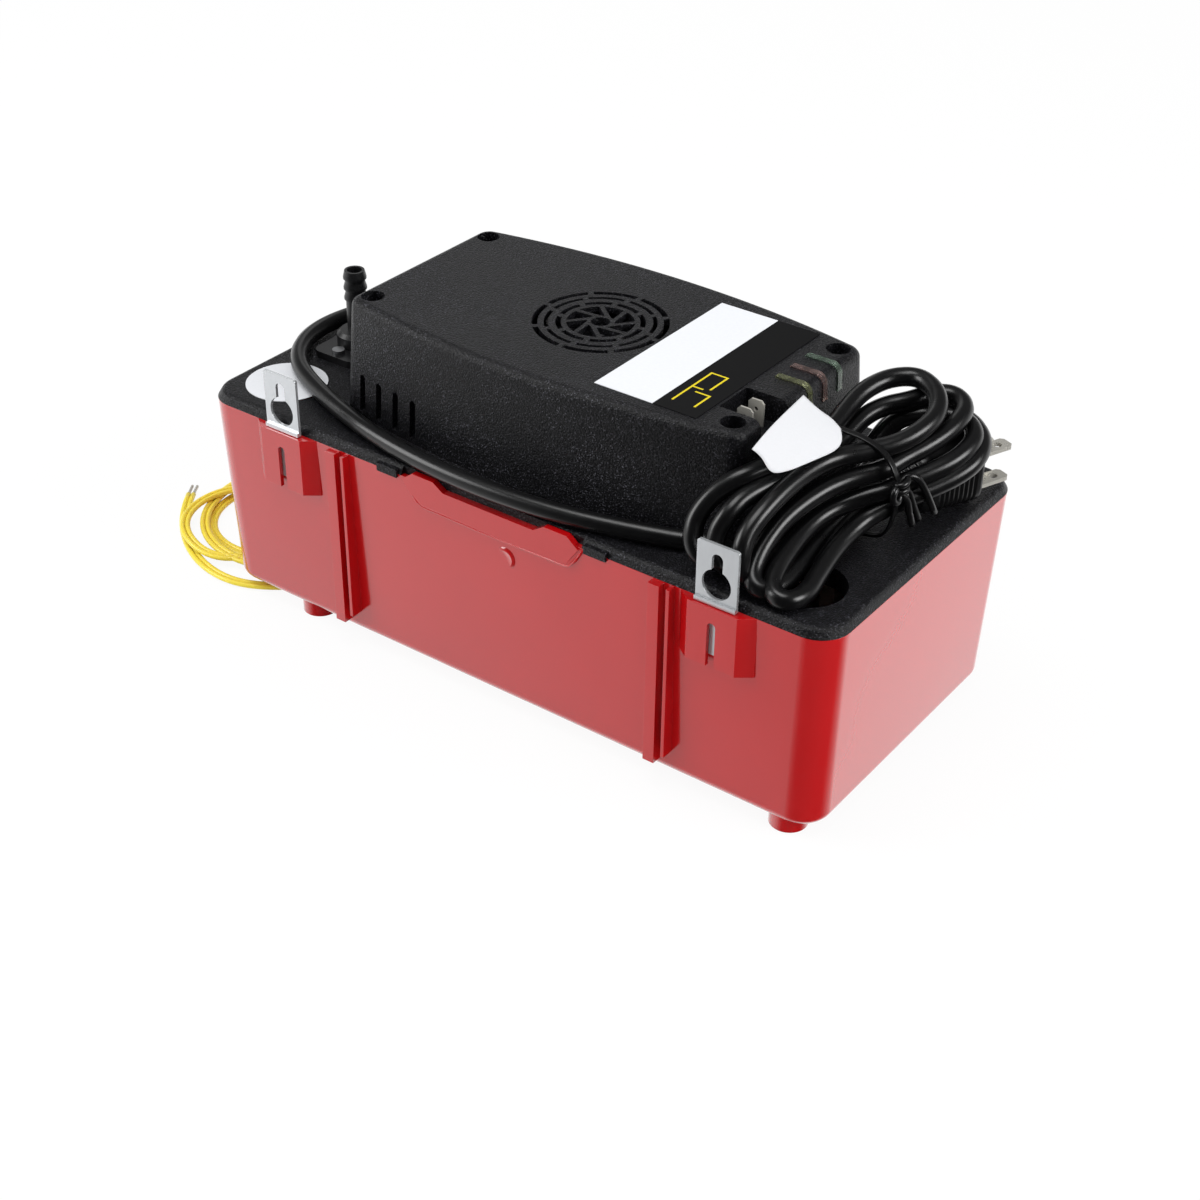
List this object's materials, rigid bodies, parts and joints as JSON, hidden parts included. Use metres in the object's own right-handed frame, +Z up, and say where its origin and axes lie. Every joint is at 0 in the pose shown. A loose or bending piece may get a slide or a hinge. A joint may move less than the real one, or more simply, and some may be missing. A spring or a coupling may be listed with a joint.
{
  "type": "condensate pump",
  "caption": "Low condensate pump: open-top tank, lid with ventilated motor cover, barbed outlet, open inlet, hanger brackets, mains cord and twin signal lead.",
  "frame": {"origin": "bottom centre of the pump without its cords, on the plane the feet stand on", "axes": "+X along the tank towards the open inlet and the coiled cord, -Y towards the side with the hanger brackets, +Z up"},
  "size_m": [0.3547, 0.1552, 0.1373],
  "materials": {
    "tank_plastic": "gloss",
    "black_plastic": "textured",
    "cord_jacket": "gloss",
    "zinc_plate": "bright zinc",
    "steel_screw": "satin",
    "lamination_steel": "satin",
    "white_label": "smooth",
    "board_green": "satin",
    "green_pipe": "clear",
    "red_pipe": "clear",
    "yellow_pipe": "clear",
    "lamp_epoxy": "gloss",
    "tin_plate": "tin",
    "copper": "enamelled",
    "nylon_white": "satin",
    "bronze": "sintered",
    "clear_hose": "clear",
    "valve_plastic": "satin",
    "seal_rubber": "satin",
    "float_foam": "foam",
    "switch_case": "satin",
    "switch_button": "satin",
    "tag_sheet": "smooth",
    "lead_yellow": "satin"
  },
  "bodies": {
    "housing": {"tank": "tank_plastic", "deck": "black_plastic", "motor_cover": "black_plastic", "cover_screws": "steel_screw", "alarm_light_pipe": "yellow_pipe", "run_light_pipe": "red_pipe", "power_light_pipe": "green_pipe", "circuit_board": "board_green", "status_lamps": "lamp_epoxy", "spade_terminals": "tin_plate", "board_screws": "steel_screw", "inlet_sticker": "white_label", "cover_label": "white_label", "stator_laminations": "lamination_steel", "coil_bobbin": "nylon_white", "coil_winding": "copper", "shading_rings": "copper", "lower_bearing_bracket": "zinc_plate", "upper_bearing_bracket": "zinc_plate", "lower_bush": "bronze", "upper_bush": "bronze", "motor_screws": "steel_screw", "pump_column": "black_plastic", "column_screws": "steel_screw", "pump_base": "black_plastic", "discharge_hose": "clear_hose", "check_valve_body": "valve_plastic", "discharge_barb": "valve_plastic", "valve_seal_ring": "seal_rubber", "valve_screws": "steel_screw", "float_pivot_pin": "steel_screw", "run_switch": "switch_case", "alarm_switch": "switch_case", "switch_pins": "steel_screw", "strain_relief": "cord_jacket", "cord_run": "cord_jacket", "cord_hank": "cord_jacket", "twist_tie": "cord_jacket", "cord_tag": "tag_sheet", "plug_body": "cord_jacket", "plug_blades": "tin_plate", "plug_ground_pin": "tin_plate", "lead_grommet": "seal_rubber", "lead_run": "lead_yellow", "lead_coil": "lead_yellow", "lead_tail": "lead_yellow", "lead_tips": "tin_plate"},
    "rotating_group": {"rotor": "lamination_steel", "motor_shaft": "steel_screw", "cooling_fan": "black_plastic", "shaft_slinger": "seal_rubber", "impeller": "nylon_white"},
    "float_group": {"float_arm": "nylon_white", "tank_float": "float_foam"},
    "run_plunger": {"run_switch_plunger": "switch_button"},
    "alarm_plunger": {"alarm_switch_plunger": "switch_button"},
    "valve_ball": {"check_ball": "nylon_white"},
    "left_hanger_plate": {"left_hanger": "zinc_plate"},
    "right_hanger_plate": {"right_hanger": "zinc_plate"}
  },
  "joints": [
    {"name": "rotor_spin", "type": "hinge", "parent": "housing", "child": "rotating_group", "pos_m": [0, 0.0015, 0.107], "axis": [0, 0, 1], "continuous": true},
    {"name": "float_swing", "type": "hinge", "parent": "housing", "child": "float_group", "pos_m": [0.05, 0.0015, 0.079], "axis": [0, -1, 0], "range_deg": [0, 14]},
    {"name": "run_plunger_slide", "type": "slide", "parent": "housing", "child": "run_plunger", "axis": [0, 0, 1], "range_m": [0, 0.0031]},
    {"name": "alarm_plunger_slide", "type": "slide", "parent": "housing", "child": "alarm_plunger", "axis": [0, 0, 1], "range_m": [0, 0.0031]},
    {"name": "check_ball_lift", "type": "slide", "parent": "housing", "child": "valve_ball", "axis": [0, 0, 1], "range_m": [0, 0.0035]},
    {"name": "left_hanger_slide", "type": "slide", "parent": "housing", "child": "left_hanger_plate", "axis": [0, 0, 1], "range_m": [0, 0.015]},
    {"name": "right_hanger_slide", "type": "slide", "parent": "housing", "child": "right_hanger_plate", "axis": [0, 0, 1], "range_m": [0, 0.015]}
  ],
  "couplings": [
    {"joint": "run_plunger_slide", "follows": "float_swing", "m_per_rad": 0.012},
    {"joint": "alarm_plunger_slide", "follows": "float_swing", "m_per_rad": 0.012}
  ]
}
